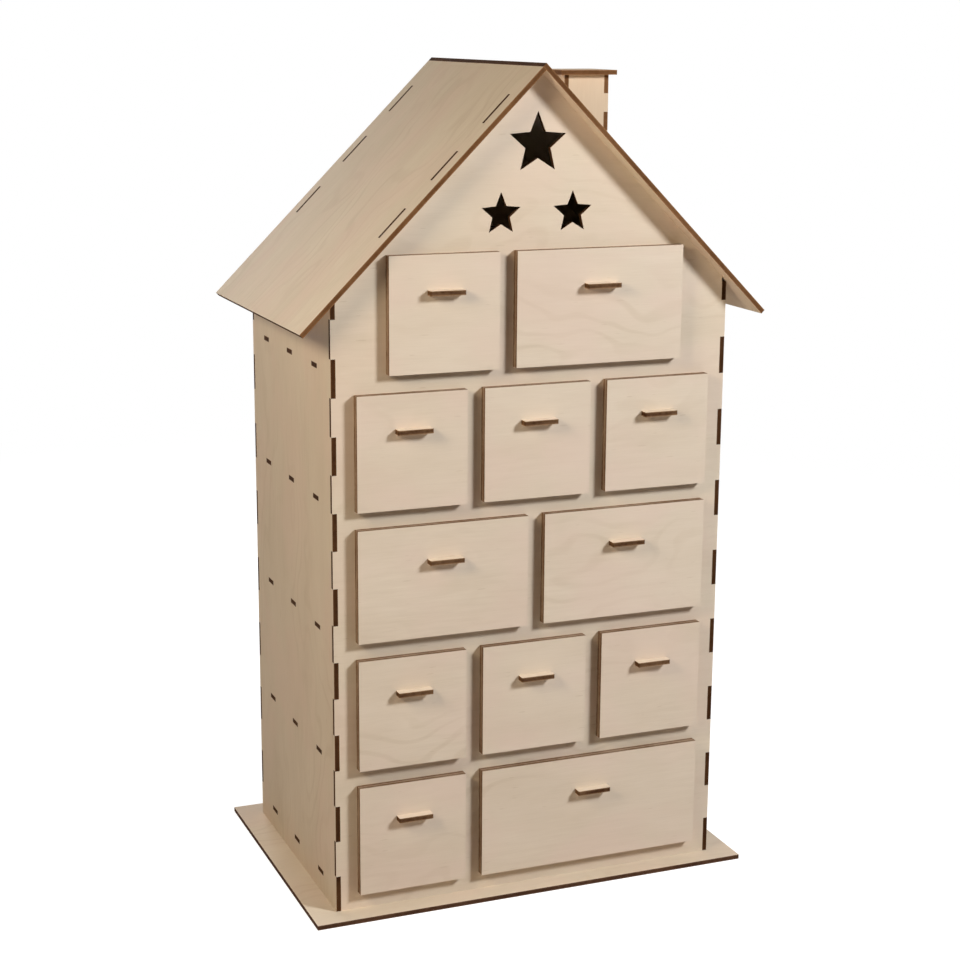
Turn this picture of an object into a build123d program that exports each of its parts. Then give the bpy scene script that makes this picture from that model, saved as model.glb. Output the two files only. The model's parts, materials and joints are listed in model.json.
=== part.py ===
from build123d import *
import os
from math import cos, pi, radians, sin, tan

# A wooden advent calendar: a plywood house with twelve drawers in its front and twelve in its back.
# Every piece is a flat plate cut from one sheet and joined with tabs, slots and fingers.
# The house stands on the origin, X to the right, Y to the back and Z up. Its front faces -Y.
# Lengths are in millimetres.

# Sheet and fits
ply = 3.2  # thickness of every plate
joint_play = 0.05  # gap on each side of a glued tab or finger
closing_gap = 0.1  # a closed drawer's front to its wall
floor_clearance = 0.15  # a drawer above its shelf
side_clearance = 0.5  # a drawer beside each edge of its window
top_clearance = 1.0  # a drawer below the top of its window

# House
house_width = 280.0
house_depth = 182.0
eave_height = 412.5  # side walls, above the base plate
finger_pitch = 25.0  # fingers of the wall corners
base_overhang_side = 18.0
base_overhang_front = 16.0
base_tab_length = 25.0
base_tab_share = 0.5  # tabs of the walls, from the middle, of the half width or half depth

# Roof
roof_angle = 45.0  # degrees
eave_overhang = 30.0  # past the side walls, along the slope
gable_overhang = 12.0  # past the front and back walls
roof_tab_length = 25.0
roof_tab_shares = (0.187, 0.436, 0.685)  # tabs of the gables, from the apex, of the gable's slope

# Chimney
chimney_across_share = 0.486  # its middle, from the ridge, of the half width
chimney_width = 33.0
chimney_depth = 33.0
chimney_uphill_height = 42.0  # above the roof, on the side nearest the ridge
chimney_finger_pitch = 12.5
chimney_tab_length = 15.0
chimney_cap_overhang = 4.3

# Stars cut in the gables: middle across, middle below the apex and radius, as shares of the gable's
# height above the top drawers
star_shares = ((0, 0.406, 0.181), (-0.221, 0.796, 0.125), (0.221, 0.796, 0.125))
star_inner_share = 0.45  # inner corners, of the star's radius
star_corners = 5

# Drawer fronts. The widths are counted in columns, row by row from the top.
drawer_width_shares = ((1, 1.5), (1, 1, 1), (1.5, 1.5), (1, 1, 1), (1, 2))
face_gap = 12.0  # between neighbouring fronts, both ways
face_side_margin = 15.0  # outermost fronts to the house's corners
lowest_face_level = 12.2  # above the base plate
top_face_rise = 26.7  # upper edge of the top fronts, above the eaves
face_lap = 4.5  # a front past each edge of its window
handle_width = 24.0
handle_reach = 6.4
handle_corner_radius = 0.8
handle_drop = 24.0  # handle's middle, below the upper edge of its front
handle_tab_width = 12.0

# Drawer boxes
drawer_back_gap = 2.0  # back of a box to the middle of the house
front_tab_height = 14.0
front_tab_shares = (0.25, 0.75)  # tabs of a box side, of its height
floor_tab_length = 30.0
floor_back_tab_length = 20.0
back_tab_height = 22.0

# Shelves and dividers
shelf_tab_length = 12.0
shelf_tab_shares = (-0.615, 0, 0.615)  # tabs of a shelf, from the middle, of the half depth
divider_tab_length = 20.0
divider_tab_shares = (-0.5, 0.5)  # tabs of a divider, from the middle, of the half depth

# Levels and places that follow from the sizes above
row_count = len(drawer_width_shares)
column_count = max(sum(shares) for shares in drawer_width_shares)
column_pitch = (house_width - 2 * face_side_margin + face_gap) / column_count
row_pitch = (eave_height + top_face_rise - lowest_face_level + face_gap) / row_count
face_height = row_pitch - face_gap
handle_level = face_height - handle_drop  # above the lower edge of its front
wall_foot = ply
half_width = house_width / 2
half_depth = house_depth / 2
inner_half_width = half_width - ply
inner_half_depth = half_depth - ply
eave_level = wall_foot + eave_height
finger_count = int(eave_height / finger_pitch) + 1
tilt = radians(roof_angle)
gable_height = half_width * tan(tilt)
gable_slope = half_width / cos(tilt)
star_room = gable_height - top_face_rise
apex_level = eave_level + gable_height
roof_slope_length = gable_slope + eave_overhang
base_tab_across = base_tab_share * half_width
base_tab_along = base_tab_share * half_depth
lowest_shelf_top = wall_foot + lowest_face_level + face_lap
shelf_tops = [lowest_shelf_top + row * row_pitch for row in range(row_count)]
shelf_tab_places = [share * half_depth for share in shelf_tab_shares]
divider_tab_places = [share * half_depth for share in divider_tab_shares]
divider_height = row_pitch - ply - joint_play
drawer_front_back = half_depth + closing_gap  # back of the inner front plate, from the middle of the house
handle_root = drawer_front_back + 2 * ply
star_places = [[share * star_room for share in shares] for shares in star_shares]
roof_tab_middles = [share * gable_slope for share in roof_tab_shares]
chimney_across = chimney_across_share * half_width
chimney_uphill = chimney_across - chimney_width / 2
chimney_downhill = chimney_across + chimney_width / 2


def roof_top(across):
    """Level of the right roof panel's upper face at a distance from the ridge."""
    return apex_level + ply / cos(tilt) - across * tan(tilt)


chimney_top = roof_top(chimney_uphill) + chimney_uphill_height


def drawer_places():
    """Middle, lower edge and width of each front, row by row from the top left."""
    places = []
    for row, shares in enumerate(drawer_width_shares):
        level = wall_foot + lowest_face_level + (row_count - 1 - row) * row_pitch
        left = -(sum(shares) * column_pitch - face_gap) / 2
        for share in shares:
            width = share * column_pitch - face_gap
            places.append((left + width / 2, level, width))
            left += width + face_gap
    return places


def divider_places():
    """Middle of each gap between two fronts of a row, with the number of the shelf that it is over."""
    places = []
    for row, shares in enumerate(drawer_width_shares):
        left = -(sum(shares) * column_pitch - face_gap) / 2
        for share in shares[:-1]:
            left += share * column_pitch
            places.append((left - face_gap / 2, row_count - 1 - row))
    return places


def star_points(across, level, radius):
    """Corners of an upright star, outer and inner in turn."""
    points = []
    for corner in range(2 * star_corners):
        reach = radius if corner % 2 == 0 else radius * star_inner_share
        angle = pi / 2 + corner * pi / star_corners
        points.append((across + reach * cos(angle), level + reach * sin(angle)))
    return points


def mirrored(plate, plane):
    """The same plate on the other side of a plane."""
    with BuildPart() as copy:
        mirror(plate.part, about=plane)
    return copy


def export_node(name, plates):
    """Write one plate, or a group of separate plates, as one node."""
    if len(plates) == 1:
        node = plates[0].part
    else:
        node = Compound(children=[plate.part for plate in plates])
    node.label = name
    export_step(node, f"parts/{name}.step")


def build_base_plate():
    with BuildPart() as base_plate:
        with BuildSketch(Plane.XY):
            Rectangle(house_width + 2 * base_overhang_side, house_depth + 2 * base_overhang_front)
            slot_length = base_tab_length + 2 * joint_play
            slot_width = ply + 2 * joint_play
            with GridLocations(2 * base_tab_across, house_depth - ply, 2, 2):
                Rectangle(slot_length, slot_width, mode=Mode.SUBTRACT)
            with GridLocations(house_width - ply, 2 * base_tab_along, 2, 2):
                Rectangle(slot_width, slot_length, mode=Mode.SUBTRACT)
        extrude(amount=ply)
    return base_plate


def build_front_wall():
    with BuildPart() as front_wall:
        with BuildSketch(Plane.XZ.offset(inner_half_depth)):
            with BuildLine():
                Polyline(
                    (-half_width, wall_foot),
                    (half_width, wall_foot),
                    (half_width, eave_level),
                    (0, apex_level),
                    (-half_width, eave_level),
                    close=True,
                )
            make_face()
            # Notches for the side walls' fingers
            for finger in range(0, finger_count, 2):
                level = wall_foot + (finger + 1 / 2) * finger_pitch
                with Locations((-half_width, level), (half_width, level)):
                    Rectangle(2 * (ply + joint_play), finger_pitch, mode=Mode.SUBTRACT)
            # Drawer windows
            for across, level, width in drawer_places():
                with Locations((across, level + face_height / 2)):
                    Rectangle(width - 2 * face_lap, face_height - 2 * face_lap, mode=Mode.SUBTRACT)
            # Stars
            for across, below_apex, radius in star_places:
                with BuildLine():
                    Polyline(*star_points(across, apex_level - below_apex, radius), close=True)
                make_face(mode=Mode.SUBTRACT)
            # Tabs for the roof slots, each half in the wall and half in the roof panel
            for middle in roof_tab_middles:
                for sense in (-1, 1):
                    with Locations((sense * middle * cos(tilt), apex_level - middle * sin(tilt))):
                        Rectangle(roof_tab_length, 2 * ply, rotation=-sense * roof_angle)
            # Tabs for the base slots
            with Locations((-base_tab_across, wall_foot), (base_tab_across, wall_foot)):
                Rectangle(base_tab_length, 2 * ply)
        extrude(amount=ply)
    return front_wall


def build_right_wall():
    with BuildPart() as right_wall:
        with BuildSketch(Plane.YZ.offset(inner_half_width)):
            wall_height = eave_height - joint_play
            with Locations((0, wall_foot + wall_height / 2)):
                Rectangle(house_depth, wall_height)
            # Notches for the front and back walls' fingers
            for finger in range(1, finger_count, 2):
                level = wall_foot + (finger + 1 / 2) * finger_pitch
                with Locations((-half_depth, level), (half_depth, level)):
                    Rectangle(2 * (ply + joint_play), finger_pitch + 2 * joint_play, mode=Mode.SUBTRACT)
            # Slots for the shelves' tabs
            slot_length = shelf_tab_length + 2 * joint_play
            slot_height = ply + 2 * joint_play
            for shelf_top in shelf_tops:
                for along in shelf_tab_places:
                    with Locations((along, shelf_top - ply / 2)):
                        Rectangle(slot_length, slot_height, mode=Mode.SUBTRACT)
            # Tabs for the base slots
            with Locations((-base_tab_along, wall_foot), (base_tab_along, wall_foot)):
                Rectangle(base_tab_length, 2 * ply)
        extrude(amount=ply)
    return right_wall


def build_shelf(number):
    shelf_top = shelf_tops[number]
    with BuildPart() as shelf:
        with BuildSketch(Plane.XY.offset(shelf_top - ply)):
            Rectangle(2 * (inner_half_width - joint_play), 2 * (inner_half_depth - joint_play))
            # Each strip across the shelf ends in a tab at both side walls
            for along in shelf_tab_places:
                with Locations((0, along)):
                    Rectangle(house_width, shelf_tab_length)
            # Slots for the dividers that stand on this shelf
            for across, shelf_below in divider_places():
                if shelf_below == number:
                    for along in divider_tab_places:
                        with Locations((across, along)):
                            Rectangle(
                                ply + 2 * joint_play,
                                divider_tab_length + 2 * joint_play,
                                mode=Mode.SUBTRACT,
                            )
        extrude(amount=ply)
    return shelf


def build_divider(across, shelf_below):
    foot = shelf_tops[shelf_below]
    with BuildPart() as divider:
        with BuildSketch(Plane.YZ.offset(across - ply / 2)):
            with Locations((0, foot + divider_height / 2)):
                Rectangle(2 * (inner_half_depth - joint_play), divider_height)
            for along in divider_tab_places:
                with Locations((along, foot)):
                    Rectangle(divider_tab_length, 2 * ply)
        extrude(amount=ply)
    return divider


# Roof panels meet at the ridge: the left one stops under the right one, which laps over its end.
left_panel_start = max(0, ply / tan(2 * tilt))
ridge_lap = left_panel_start * cos(2 * tilt) + ply * sin(2 * tilt)


def build_roof_panel(sense, start):
    """A roof panel, drawn from the apex down the slope. Sense is -1 on the left and 1 on the right."""
    slope = Plane(
        origin=(0, 0, apex_level),
        x_dir=(sense * cos(tilt), 0, -sin(tilt)),
        z_dir=(sense * sin(tilt), 0, cos(tilt)),
    )
    with BuildPart() as panel:
        with BuildSketch(slope):
            with Locations(((start + roof_slope_length) / 2, 0)):
                Rectangle(roof_slope_length - start, house_depth + 2 * gable_overhang)
            # Slots for the gables' tabs
            for middle in roof_tab_middles:
                with Locations((middle, -half_depth + ply / 2), (middle, half_depth - ply / 2)):
                    Rectangle(roof_tab_length + 2 * joint_play, ply + 2 * joint_play, mode=Mode.SUBTRACT)
            # Slots for the chimney's tabs
            if sense == 1:
                middle = chimney_across / cos(tilt) - ply * tan(tilt)
                along = (chimney_depth - ply) / 2
                with Locations((middle, -along), (middle, along)):
                    Rectangle(chimney_tab_length + 2 * joint_play, ply + 2 * joint_play, mode=Mode.SUBTRACT)
        extrude(amount=ply)
    return panel


def chimney_finger_levels(first):
    """Middles of every second finger of the chimney's corners, counted from its top."""
    count = int((chimney_uphill_height + chimney_width * tan(tilt)) / chimney_finger_pitch) + 1
    return [chimney_top - (finger + 1 / 2) * chimney_finger_pitch for finger in range(first, count, 2)]


def build_chimney_front():
    with BuildPart() as chimney_front:
        with BuildSketch(Plane.XZ.offset(chimney_depth / 2 - ply)):
            with BuildLine():
                Polyline(
                    (chimney_uphill, chimney_top),
                    (chimney_downhill, chimney_top),
                    (chimney_downhill, roof_top(chimney_downhill)),
                    (chimney_uphill, roof_top(chimney_uphill)),
                    close=True,
                )
            make_face()
            for level in chimney_finger_levels(0):
                with Locations((chimney_uphill, level), (chimney_downhill, level)):
                    Rectangle(2 * (ply + joint_play), chimney_finger_pitch, mode=Mode.SUBTRACT)
            with Locations((chimney_across, roof_top(chimney_across))):
                Rectangle(chimney_tab_length, 2 * ply, rotation=-roof_angle)
        extrude(amount=ply)
    return chimney_front


def build_chimney_side(uphill_face):
    """A side of the chimney, standing on the roof along its uphill face."""
    foot = roof_top(uphill_face)
    with BuildPart() as chimney_side:
        with BuildSketch(Plane.YZ.offset(uphill_face)):
            with Locations((0, (foot + chimney_top) / 2)):
                Rectangle(chimney_depth, chimney_top - foot)
            for level in chimney_finger_levels(1):
                with Locations((-chimney_depth / 2, level), (chimney_depth / 2, level)):
                    Rectangle(
                        2 * (ply + joint_play),
                        chimney_finger_pitch + 2 * joint_play,
                        mode=Mode.SUBTRACT,
                    )
        extrude(amount=ply)
    return chimney_side


def build_chimney_cap():
    with BuildPart() as chimney_cap:
        with BuildSketch(Plane.XY.offset(chimney_top)):
            with Locations((chimney_across, 0)):
                Rectangle(
                    chimney_width + 2 * chimney_cap_overhang,
                    chimney_depth + 2 * chimney_cap_overhang,
                )
        extrude(amount=ply)
    return chimney_cap


def box_size(face_width):
    """Outer width and height of the drawer box behind a front."""
    width = face_width - 2 * face_lap - 2 * side_clearance
    height = face_height - 2 * face_lap - floor_clearance - top_clearance
    return width, height


def build_drawer_front(across, level, face_width):
    """Face plate, inner plate and handle of a drawer in the front wall."""
    box_width, box_height = box_size(face_width)
    box_floor = level + face_lap + floor_clearance
    face_middle = (across, level + face_height / 2)
    handle_slot = (handle_tab_width + 2 * joint_play, ply + 2 * joint_play)

    with BuildPart() as inner_plate:
        with BuildSketch(Plane.XZ.offset(drawer_front_back)):
            with Locations(face_middle):
                Rectangle(face_width, face_height)
            with Locations((across, level + handle_level)):
                Rectangle(*handle_slot, mode=Mode.SUBTRACT)
            for share in front_tab_shares:
                for sense in (-1, 1):
                    side_middle = across + sense * (box_width - ply) / 2
                    with Locations((side_middle, box_floor + share * box_height)):
                        Rectangle(
                            ply + 2 * joint_play,
                            front_tab_height + 2 * joint_play,
                            mode=Mode.SUBTRACT,
                        )
        extrude(amount=ply)

    with BuildPart() as face_plate:
        with BuildSketch(Plane.XZ.offset(drawer_front_back + ply)):
            with Locations(face_middle):
                Rectangle(face_width, face_height)
            with Locations((across, level + handle_level)):
                Rectangle(*handle_slot, mode=Mode.SUBTRACT)
        extrude(amount=ply)

    with BuildPart() as handle:
        with BuildSketch(Plane.XY.offset(level + handle_level - ply / 2)) as handle_plan:
            with Locations((across, -handle_root - handle_reach / 2)):
                Rectangle(handle_width, handle_reach)
            fillet(handle_plan.vertices().group_by(Axis.Y)[0], radius=handle_corner_radius)
            with Locations((across, -handle_root - handle_reach / 2 + ply)):
                Rectangle(handle_tab_width, handle_reach + 2 * ply)
        extrude(amount=ply)

    return [face_plate, inner_plate, handle]


def build_drawer_box(across, level, face_width):
    """Left side, right side, back and bottom of a drawer in the front wall."""
    box_width, box_height = box_size(face_width)
    box_floor = level + face_lap + floor_clearance
    box_middle = box_floor + box_height / 2
    box_front = -drawer_front_back
    box_back = -drawer_back_gap
    inner_width = box_width - 2 * (ply + joint_play)
    side_length = box_back - box_front
    side_middle = (box_front + box_back) / 2
    sides = []

    for sense in (-1, 1):
        with BuildPart() as side:
            with BuildSketch(Plane.YZ.offset(across + sense * (box_width - ply) / 2 - ply / 2)):
                with Locations((side_middle, box_middle)):
                    Rectangle(side_length, box_height)
                for share in front_tab_shares:
                    with Locations((box_front, box_floor + share * box_height)):
                        Rectangle(2 * ply, front_tab_height)
                with Locations((side_middle, box_floor)):
                    Rectangle(floor_tab_length + 2 * joint_play, 2 * (ply + joint_play), mode=Mode.SUBTRACT)
                with Locations((box_back, box_middle)):
                    Rectangle(2 * (ply + joint_play), back_tab_height + 2 * joint_play, mode=Mode.SUBTRACT)
            extrude(amount=ply)
        sides.append(side)

    with BuildPart() as back:
        with BuildSketch(Plane.XZ.offset(drawer_back_gap)):
            with Locations((across, box_middle)):
                Rectangle(inner_width, box_height)
                Rectangle(box_width, back_tab_height)
            with Locations((across, box_floor)):
                Rectangle(
                    floor_back_tab_length + 2 * joint_play,
                    2 * (ply + joint_play),
                    mode=Mode.SUBTRACT,
                )
        extrude(amount=ply)

    with BuildPart() as bottom:
        with BuildSketch(Plane.XY.offset(box_floor)):
            floor_length = side_length - ply - joint_play
            with Locations((across, box_front + floor_length / 2)):
                Rectangle(inner_width, floor_length)
            with Locations((across, side_middle)):
                Rectangle(box_width, floor_tab_length)
            with Locations((across, box_back - ply)):
                Rectangle(floor_back_tab_length, 2 * ply)
        extrude(amount=ply)

    return [*sides, back, bottom]


os.makedirs("parts", exist_ok=True)

# House
base_plate = build_base_plate()
front_wall = build_front_wall()
back_wall = mirrored(front_wall, Plane.XZ)
right_wall = build_right_wall()
left_wall = mirrored(right_wall, Plane.YZ)
shelves = [build_shelf(number) for number in range(row_count)]
dividers = [build_divider(across, shelf_below) for across, shelf_below in divider_places()]
export_node("base_plate", [base_plate])
export_node("front_wall", [front_wall])
export_node("back_wall", [back_wall])
export_node("left_wall", [left_wall])
export_node("right_wall", [right_wall])
export_node("shelves", shelves)
export_node("dividers", dividers)

# Roof and chimney
left_roof_panel = build_roof_panel(-1, left_panel_start)
right_roof_panel = build_roof_panel(1, -ridge_lap)
chimney_front = build_chimney_front()
chimney_back = mirrored(chimney_front, Plane.XZ)
chimney_uphill_side = build_chimney_side(chimney_uphill)
chimney_downhill_side = build_chimney_side(chimney_downhill - ply)
chimney_cap = build_chimney_cap()
export_node("left_roof_panel", [left_roof_panel])
export_node("right_roof_panel", [right_roof_panel])
export_node("chimney_walls", [chimney_front, chimney_back, chimney_uphill_side, chimney_downhill_side])
export_node("chimney_cap", [chimney_cap])

# Drawers: the front ones are numbered from the top left, and each has its twin in the back wall.
places = drawer_places()
for number, place in enumerate(places, start=1):
    front_plates = build_drawer_front(*place)
    box_plates = build_drawer_box(*place)
    export_node(f"drawer_{number:02d}_front", front_plates)
    export_node(f"drawer_{number:02d}_box", box_plates)
    twin_number = number + len(places)
    export_node(f"drawer_{twin_number:02d}_front", [mirrored(plate, Plane.XZ) for plate in front_plates])
    export_node(f"drawer_{twin_number:02d}_box", [mirrored(plate, Plane.XZ) for plate in box_plates])
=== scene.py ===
import json
import math

import bpy
import numpy as np
from mathutils import Color, Matrix, Vector


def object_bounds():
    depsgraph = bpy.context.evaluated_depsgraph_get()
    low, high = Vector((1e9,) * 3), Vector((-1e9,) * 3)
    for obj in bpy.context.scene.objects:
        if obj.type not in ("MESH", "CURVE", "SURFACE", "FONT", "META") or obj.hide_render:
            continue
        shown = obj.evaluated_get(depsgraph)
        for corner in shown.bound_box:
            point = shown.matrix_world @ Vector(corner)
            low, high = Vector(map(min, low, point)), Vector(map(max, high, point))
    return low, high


# A wooden advent calendar: a laser-cut plywood house with drawers in its front and back.
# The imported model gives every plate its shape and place. This script gives the plates their wood and
# their burnt edges, and adds the camera, the lights and a white floor. Lengths are in metres.

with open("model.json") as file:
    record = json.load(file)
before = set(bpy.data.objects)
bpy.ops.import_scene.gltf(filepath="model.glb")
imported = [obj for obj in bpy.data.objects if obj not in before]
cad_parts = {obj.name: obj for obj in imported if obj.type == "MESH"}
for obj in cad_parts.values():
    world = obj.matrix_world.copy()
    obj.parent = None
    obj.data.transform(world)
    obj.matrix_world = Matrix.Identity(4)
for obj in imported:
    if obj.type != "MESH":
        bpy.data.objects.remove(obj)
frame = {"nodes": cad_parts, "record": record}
cad_low, cad_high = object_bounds()

# Sheet
PLY = 0.0032  # thickness of the plywood
SHEET_SPAN = 12.0  # plates are cut from places drawn over this much sheet, so their grain differs
SHEET_SEED = 24
ALIKE = 0.9  # cosine above which two directions count as the same
CROSSWISE = 0.1  # cosine below which a direction counts as square to another, or to a plate
CORNER_DIGITS = 6  # corners that agree to this many decimals are one corner
FACING_DIGITS = 2
ACROSS = Vector((1, 0, 0))
DEEP = Vector((0, 1, 0))
UP = Vector((0, 0, 1))

# Veneer: how many marks there are in a metre along the grain, across it and through the sheet
CLOUDS = (9, 28, 0)
TINTS = (14, 20, 0)
RING_DRIFT = (9, 16, 0)
RING_PATCHES = (4, 11, 0)
STREAKS = (30, 340, 0)
FIGURE = (7, 10, 0)
FIBRES = (60, 1700, 0)
FLECKS = (95, 640, 0)
RINGS = 42  # growth rings in a metre across the grain
RING_WANDER = 9  # rings by which the drift moves a line
RING_ROUGHNESS = 0.45  # how rough the drift is

# Veneer: the levels at which a mark begins to show and shows in full
RING_LEVELS = (0.35, 1.0)
RING_PATCH_LEVELS = (0.42, 0.68)
FIGURE_LEVELS = (0.44, 0.62)
FLECK_LEVELS = (0.78, 0.84)
BLUSH_LEVELS = (0.40, 0.66)

# Veneer: how far a mark takes the wood from its pale colour to its tan one
MEAN_TAN = 0.30
CLOUD_TAN = 0.75
RING_TAN = 0.24
STREAK_TAN = 0.16
FIGURE_TAN = 0.36  # added to the streaks where the figure is strong
FIBRE_TAN = 0.30
FLECK_TAN = 0.30
BLUSH_SHARE = 0.50

# Veneer: relief and gloss
FIBRE_RELIEF_SHARE = 0.6
STREAK_RELIEF_SHARE = 0.4
VENEER_RELIEF = 0.00006
VENEER_ROUGHNESS = 0.54
FIBRE_ROUGHNESS = 0.14
VENEER_GLOSS = 0.15

# Burnt edges
CHAR_PATCHES = (34, 34, 150)
SOOT = (420, 420, 420)
OUTER_LEVELS = (0.45, 0.95)  # from the middle of the sheet, 0, to its faces, 1
CHAR_LEVELS = (0.30, 0.72)
OUTER_SHARE = 0.65
CHAR_SHARE = 0.35
SOOT_SHARE = 0.5
EDGE_RELIEF = 0.00004
EDGE_ROUGHNESS = 0.85
SOOT_ROUGHNESS = 0.1
EDGE_GLOSS = 0.05

# Studio
WHITE = (1.0, 1.0, 1.0, 1.0)
DAYLIGHT = (0.92, 0.96, 1.0)
LAMPLIGHT = (1.0, 0.85, 0.64)
FLOOR_REACH = 30.0
FLOOR_DROP = 0.0002  # keeps the floor clear of the base plate
FLOOR_BOUNCE = (0.53, 0.46, 0.41, 1.0)  # colour of the light that the floor throws back
FLOOR_SHADE = (0.50, 0.50, 0.50, 1.0)  # the floor's share of the light on it, as seen
FLOOR_GLOW = 0.86  # the floor's own white, as seen
SHADOW_FADE = (0.5, 1.5)  # distances from the house's middle where its shadow begins to fade and is gone
AMBIENT = 0.023
AMBIENT_COLOUR = (1.0, 0.68, 0.40, 1.0)

# Camera, as solved from corners of the photograph of 960 by 960 pixels
IMAGE_SIDE = 960
FOCAL_PIXELS = 1932.67
SENSOR_WIDTH = 36.0  # millimetres
CAMERA_PLACE = (-0.50036, -1.23544, 0.58223)
CAMERA_TURN = 21.985  # degrees to the right of straight on
CAMERA_DIP = 13.211  # degrees below level
CAMERA_ROLL = 0.384  # degrees
NEAREST_SEEN = 0.05
FARTHEST_SEEN = 100.0

SCREEN_WHITE = 255
NOISE_MEAN = 0.5


def shade(red, green, blue):
    """A colour given as it looks on a screen, 0 to 255, in the linear values that a shader takes."""
    screen = Color((red / SCREEN_WHITE, green / SCREEN_WHITE, blue / SCREEN_WHITE))
    return (*screen.from_srgb_to_scene_linear(), 1.0)


class Reading:
    """A value that changes over a surface. Sums on readings add Math nodes to their finish."""

    def __init__(self, finish, socket):
        self.finish = finish
        self.socket = socket

    def __add__(self, other):
        return self.finish.math("ADD", self, other)

    def __radd__(self, other):
        return self.finish.math("ADD", other, self)

    def __sub__(self, other):
        return self.finish.math("SUBTRACT", self, other)

    def __rsub__(self, other):
        return self.finish.math("SUBTRACT", other, self)

    def __mul__(self, other):
        return self.finish.math("MULTIPLY", self, other)

    def __rmul__(self, other):
        return self.finish.math("MULTIPLY", other, self)


class Finish:
    """A material, or the world, under construction."""

    def __init__(self, owner):
        owner.use_nodes = True
        self.owner = owner
        self.tree = owner.node_tree
        self.tree.nodes.clear()

    def node(self, kind, settings, sockets, output=0):
        """Add a node, set it up, give its sockets their values or links, and return one of its outputs."""
        made = self.tree.nodes.new(kind)
        for setting, value in settings.items():
            setattr(made, setting, value)
        for socket, value in sockets.items():
            if isinstance(value, Reading):
                self.tree.links.new(value.socket, made.inputs[socket])
            else:
                made.inputs[socket].default_value = value
        return Reading(self, made.outputs[output]) if made.outputs else None

    def math(self, operation, *values):
        """A sum or function of readings and plain numbers."""
        return self.node("ShaderNodeMath", {"operation": operation}, dict(enumerate(values)))

    def noise(self, place, marks, detail=2.0, roughness=0.5):
        """Cloudy noise from 0 to 1, with about as many marks in a metre, each way, as given."""
        stretched = self.node("ShaderNodeVectorMath", {"operation": "MULTIPLY"}, {0: place, 1: marks})
        sockets = {"Vector": stretched, "Scale": 1.0, "Detail": detail, "Roughness": roughness}
        return self.node("ShaderNodeTexNoise", {"noise_dimensions": "3D"}, sockets)

    def between(self, value, low, high):
        """0 below low, 1 above high and smooth between them."""
        settings = {"interpolation_type": "SMOOTHSTEP", "clamp": True}
        sockets = {"Value": value, "From Min": low, "From Max": high, "To Min": 0.0, "To Max": 1.0}
        return self.node("ShaderNodeMapRange", settings, sockets)

    def blended(self, share, first, second):
        """From the first colour to the second. A Mix node takes colours at 6 and 7 and gives one at 2."""
        settings = {"data_type": "RGBA", "blend_type": "MIX", "clamp_factor": True}
        return self.node("ShaderNodeMix", settings, {0: share, 6: first, 7: second}, output=2)

    def mixed(self, share, first, second):
        """From the first shader to the second."""
        return self.node("ShaderNodeMixShader", {}, {0: share, 1: first, 2: second})

    def surface(self, colour, roughness, height, depth, gloss):
        """Close the finish with its shader and a fine relief."""
        bump = self.node("ShaderNodeBump", {}, {"Height": height, "Strength": 1.0, "Distance": depth})
        sockets = {
            "Base Color": colour,
            "Roughness": roughness,
            "Normal": bump,
            "Specular IOR Level": gloss,
        }
        shader = self.node("ShaderNodeBsdfPrincipled", {}, sockets)
        self.node("ShaderNodeOutputMaterial", {}, {"Surface": shader})
        return self.owner

    def ray_sees(self):
        """1 for rays that show the surroundings: from the camera, off gloss or through glass. Else 0."""
        camera, gloss, glass = (
            self.node("ShaderNodeLightPath", {}, {}, output=ray)
            for ray in ("Is Camera Ray", "Is Glossy Ray", "Is Transmission Ray")
        )
        return self.math("MAXIMUM", camera, self.math("MAXIMUM", gloss, glass))


def sheet_place(finish):
    """Place on the plywood sheet that a plate was cut from: along the grain, across it and through it."""
    return finish.node("ShaderNodeAttribute", {"attribute_name": "sheet_place"}, {}, output="Vector")


def birch_veneer(name, pale, tan, blush):
    """The sanded face of birch plywood: cloudy colour, wavy growth rings, fine fibres and a few flecks."""
    finish = Finish(bpy.data.materials.new(name))
    place = sheet_place(finish)
    across = finish.node("ShaderNodeSeparateXYZ", {}, {0: place}, output="Y")

    clouds = finish.noise(place, CLOUDS, detail=3.0)
    tints = finish.noise(place, TINTS)
    drift = finish.noise(place, RING_DRIFT, roughness=RING_ROUGHNESS)
    waves = finish.math("SINE", (across * RINGS + drift * RING_WANDER) * math.tau)
    rings = finish.between(waves, *RING_LEVELS)
    ring_patches = finish.between(finish.noise(place, RING_PATCHES, detail=1.0), *RING_PATCH_LEVELS)
    streaks = finish.noise(place, STREAKS, detail=3.0)
    figure = finish.between(finish.noise(place, FIGURE, detail=1.0), *FIGURE_LEVELS)
    fibres = finish.noise(place, FIBRES)
    flecks = finish.between(finish.noise(place, FLECKS, detail=0.0), *FLECK_LEVELS)

    tanned = (
        (clouds - NOISE_MEAN) * CLOUD_TAN
        + rings * ring_patches * RING_TAN
        + (streaks - NOISE_MEAN) * (STREAK_TAN + figure * FIGURE_TAN)
        + (fibres - NOISE_MEAN) * FIBRE_TAN
        + flecks * FLECK_TAN
        + MEAN_TAN
    )
    wood = finish.blended(tanned, pale, tan)
    colour = finish.blended(finish.between(tints, *BLUSH_LEVELS) * BLUSH_SHARE, wood, blush)
    height = fibres * FIBRE_RELIEF_SHARE + streaks * STREAK_RELIEF_SHARE
    roughness = VENEER_ROUGHNESS + fibres * FIBRE_ROUGHNESS
    return finish.surface(colour, roughness, height, VENEER_RELIEF, VENEER_GLOSS)


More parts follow.
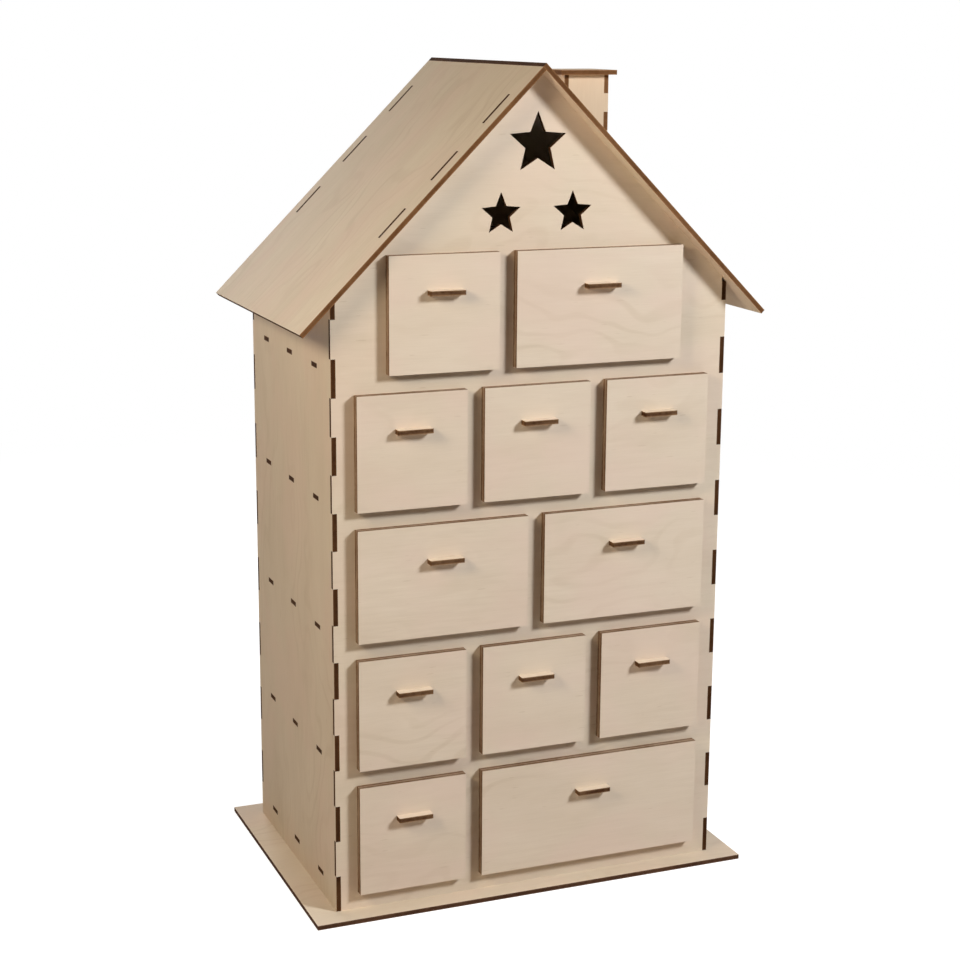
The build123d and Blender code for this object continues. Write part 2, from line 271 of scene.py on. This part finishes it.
def burnt_edge(name, core, veneer):
    """A laser-cut edge: matt, darkest in its core's end grain and lighter in the two outer veneers."""
    finish = Finish(bpy.data.materials.new(name))
    place = sheet_place(finish)
    through = finish.node("ShaderNodeSeparateXYZ", {}, {0: place}, output="Z")
    share = finish.math("FRACT", through * (1 / PLY))  # starts again at the second sheet of a drawer front
    from_core = finish.math("ABSOLUTE", share * 2 - 1)
    outer_veneers = finish.between(from_core, *OUTER_LEVELS)
    patches = finish.between(finish.noise(place, CHAR_PATCHES, detail=3.0), *CHAR_LEVELS)
    soot = finish.noise(place, SOOT)
    lightness = outer_veneers * OUTER_SHARE + patches * CHAR_SHARE + (soot - NOISE_MEAN) * SOOT_SHARE
    colour = finish.blended(lightness, core, veneer)
    roughness = EDGE_ROUGHNESS - soot * SOOT_ROUGHNESS
    return finish.surface(colour, roughness, soot, EDGE_RELIEF, EDGE_GLOSS)


def separate_plates(mesh):
    """Face numbers of each plate of a mesh. The two sheets of a drawer front share corners and are one."""
    places = [tuple(round(c, CORNER_DIGITS) for c in vertex.co) for vertex in mesh.vertices]
    faces_at = {}
    for face in mesh.polygons:
        for number in face.vertices:
            faces_at.setdefault(places[number], []).append(face.index)
    taken = set()
    plates = []
    for start in range(len(mesh.polygons)):
        if start in taken:
            continue
        taken.add(start)
        waiting = [start]
        plate = []
        while waiting:
            face = waiting.pop()
            plate.append(face)
            for number in mesh.polygons[face].vertices:
                for other in faces_at[places[number]]:
                    if other not in taken:
                        taken.add(other)
                        waiting.append(other)
        plates.append(plate)
    return plates


def plate_facing(mesh, plate):
    """The direction that most of a plate's area faces, with its two sides counted together."""
    areas = {}
    for number in plate:
        face = mesh.polygons[number]
        facing = tuple(round(c, FACING_DIGITS) + 0.0 for c in face.normal)  # adding 0 clears the sign of -0
        opposite = tuple(-c + 0.0 for c in facing)
        side = max(facing, opposite)
        areas[side] = areas.get(side, 0) + face.area
    return Vector(max(areas, key=areas.get)).normalized()


def grain_along(facing, wish):
    """The grain's direction in a plate: as wished if it lies in the plate, or else from front to back."""
    for direction in (wish, DEEP):
        lying = direction - direction.dot(facing) * facing
        if lying.length > CROSSWISE:
            return lying.normalized()


def cut_from_sheet(node, wish, draws):
    """Lay a node's plates on the plywood sheet, and give their faces and edges their finishes.

    Of a node's finishes the first is for faces and the second for edges. The last, where there is a
    third, is for the edges of level plates and the lower and upper ends of sloping ones.
    """
    mesh = node.data
    edge, other_edge = 1, len(mesh.materials) - 1
    corners = np.array([vertex.co for vertex in mesh.vertices])
    on_sheet = np.zeros((len(corners), 3))
    finish_numbers = np.zeros(len(mesh.polygons), dtype=np.int32)
    for plate in separate_plates(mesh):
        facing = plate_facing(mesh, plate)
        along = grain_along(facing, wish)
        across = facing.cross(along)
        numbers = sorted({number for face in plate for number in mesh.polygons[face].vertices})
        local = corners[numbers] @ np.array([along, across, facing]).T
        local[:, 2] -= local[:, 2].min()
        local[:, :2] += draws.uniform(0, SHEET_SPAN, 2)
        on_sheet[numbers] = local
        level = abs(facing.z) > ALIKE
        sloping = CROSSWISE < abs(facing.z) < ALIKE
        for face in plate:
            normal = mesh.polygons[face].normal
            if abs(normal.dot(facing)) < ALIKE:
                ends_slope = sloping and abs(normal.dot(along)) > ALIKE
                finish_numbers[face] = other_edge if level or ends_slope else edge
    attribute = mesh.attributes.new("sheet_place", "FLOAT_VECTOR", "POINT")
    attribute.data.foreach_set("vector", on_sheet.astype(np.float32).ravel())
    mesh.polygons.foreach_set("material_index", finish_numbers)
    mesh.update()


house_veneer = birch_veneer(
    "house_veneer", pale=shade(235, 220, 199), tan=shade(206, 187, 161), blush=shade(232, 209, 190)
)
roof_veneer = birch_veneer(
    "roof_veneer", pale=shade(241, 226, 203), tan=shade(212, 191, 164), blush=shade(237, 212, 192)
)
chimney_veneer = birch_veneer(
    "chimney_veneer", pale=shade(229, 205, 177), tan=shade(200, 171, 140), blush=shade(223, 193, 166)
)
drawer_veneer = birch_veneer(
    "drawer_veneer", pale=shade(235, 220, 201), tan=shade(208, 189, 165), blush=shade(232, 209, 193)
)
house_edge = burnt_edge("house_edge", core=shade(58, 35, 18), veneer=shade(106, 71, 44))
base_edge = burnt_edge("base_edge", core=shade(72, 48, 35), veneer=shade(126, 94, 72))
roof_edge = burnt_edge("roof_edge", core=shade(100, 66, 40), veneer=shade(152, 110, 74))
drawer_edge = burnt_edge("drawer_edge", core=shade(114, 86, 64), veneer=shade(178, 157, 135))
handle_edge = burnt_edge("handle_edge", core=shade(72, 46, 28), veneer=shade(158, 124, 92))

FINISHES = {
    "house_plywood": (house_veneer, house_edge),
    "roof_plywood": (roof_veneer, roof_edge, house_edge),
    "drawer_front_plywood": (drawer_veneer, drawer_edge, handle_edge),
    "drawer_box_plywood": (house_veneer, house_edge),
}
OTHER_SHEETS = {
    "base_plate": (house_veneer, base_edge),
    "chimney_walls": (chimney_veneer, roof_edge),
    "chimney_cap": (chimney_veneer, roof_edge),
}
# The grain runs across the house where a node isn't named here.
GRAIN = {
    "left_wall": UP,
    "right_wall": UP,
    "left_roof_panel": UP,
    "right_roof_panel": UP,
    "chimney_walls": UP,
    "dividers": DEEP,
}

slot_of_node = {piece["node"]: piece["material_slot"] for piece in frame["record"]["subparts"]}
draws = np.random.default_rng(SHEET_SEED)
for name, node in sorted(frame["nodes"].items()):
    node.data.materials.clear()
    for finish in OTHER_SHEETS.get(name, FINISHES[slot_of_node[name]]):
        node.data.materials.append(finish)
    cut_from_sheet(node, GRAIN.get(name, ACROSS), draws)


def add_softbox(name, place, target, side, power, colour):
    """A square lamp that faces its target, with its power in watts."""
    lamp = bpy.data.lights.new(name, "AREA")
    lamp.shape = "SQUARE"
    lamp.size = side
    lamp.energy = power
    lamp.color = colour
    holder = bpy.data.objects.new(name, lamp)
    holder.location = place
    holder.rotation_euler = (Vector(target) - Vector(place)).to_track_quat("-Z", "Y").to_euler()
    bpy.context.scene.collection.objects.link(holder)


# The key light stands to the right of the front, the fill light to the left and the back light behind.
add_softbox(
    "key_light",
    place=(0.91, -1.09, 1.11),
    target=(0, -0.09, 0.28),
    side=0.29,
    power=21.6,
    colour=DAYLIGHT,
)
add_softbox(
    "fill_light",
    place=(-0.74, -0.43, 0.75),
    target=(-0.10, -0.05, 0.36),
    side=0.26,
    power=4.0,
    colour=LAMPLIGHT,
)
add_softbox(
    "back_light",
    place=(-0.15, 1.35, 0.55),
    target=(0, 0.09, 0.28),
    side=0.60,
    power=9.5,
    colour=DAYLIGHT,
)


def white_cloth():
    """Cloth that looks white, takes a shadow near the house and throws some warm light back."""
    finish = Finish(bpy.data.materials.new("white_floor"))
    bounce = finish.node("ShaderNodeBsdfDiffuse", {}, {"Color": FLOOR_BOUNCE})
    shaded = finish.node("ShaderNodeBsdfDiffuse", {}, {"Color": FLOOR_SHADE})
    glow = finish.node("ShaderNodeEmission", {}, {"Color": WHITE, "Strength": FLOOR_GLOW})
    near = finish.node("ShaderNodeAddShader", {}, {0: shaded, 1: glow})
    far = finish.node("ShaderNodeEmission", {}, {"Color": WHITE, "Strength": 1.0})
    place = finish.node("ShaderNodeNewGeometry", {}, {}, output="Position")
    distance = finish.node("ShaderNodeVectorMath", {"operation": "LENGTH"}, {0: place}, output="Value")
    seen = finish.mixed(finish.between(distance, *SHADOW_FADE), near, far)
    cloth = finish.mixed(finish.ray_sees(), bounce, seen)
    finish.node("ShaderNodeOutputMaterial", {}, {"Surface": cloth})
    return finish.owner


def add_floor():
    """A wide floor just under the base plate."""
    reach = FLOOR_REACH
    corners = [(-reach, -reach, 0), (reach, -reach, 0), (reach, reach, 0), (-reach, reach, 0)]
    mesh = bpy.data.meshes.new("floor")
    mesh.from_pydata(corners, [], [(0, 1, 2, 3)])
    mesh.materials.append(white_cloth())
    floor = bpy.data.objects.new("floor", mesh)
    floor.location.z = cad_low.z - FLOOR_DROP
    bpy.context.scene.collection.objects.link(floor)


def studio_world():
    """Weak warm light from all round, and white where the floor ends."""
    finish = Finish(bpy.data.worlds.new("studio"))
    dim = finish.node("ShaderNodeBackground", {}, {"Color": AMBIENT_COLOUR, "Strength": AMBIENT})
    white = finish.node("ShaderNodeBackground", {}, {"Color": WHITE, "Strength": 1.0})
    sky = finish.mixed(finish.ray_sees(), dim, white)
    finish.node("ShaderNodeOutputWorld", {}, {"Surface": sky})
    bpy.context.scene.world = finish.owner


def add_camera():
    """The camera at the photograph's place and angle."""
    turn, dip, roll = (math.radians(angle) for angle in (CAMERA_TURN, CAMERA_DIP, CAMERA_ROLL))
    ahead = Vector((math.sin(turn) * math.cos(dip), math.cos(turn) * math.cos(dip), -math.sin(dip)))
    level_right = ahead.cross(UP).normalized()
    level_up = level_right.cross(ahead)
    right = level_right * math.cos(roll) + level_up * math.sin(roll)
    up = level_up * math.cos(roll) - level_right * math.sin(roll)
    lens = bpy.data.cameras.new("camera")
    lens.sensor_width = SENSOR_WIDTH
    lens.lens = FOCAL_PIXELS / IMAGE_SIDE * SENSOR_WIDTH
    lens.clip_start = NEAREST_SEEN
    lens.clip_end = FARTHEST_SEEN
    camera = bpy.data.objects.new("camera", lens)
    axes = Matrix((right, up, -ahead)).transposed()
    camera.matrix_world = Matrix.Translation(CAMERA_PLACE) @ axes.to_4x4()
    bpy.context.scene.collection.objects.link(camera)
    bpy.context.scene.camera = camera


add_floor()
studio_world()
add_camera()
bpy.context.scene.view_settings.view_transform = "Standard"
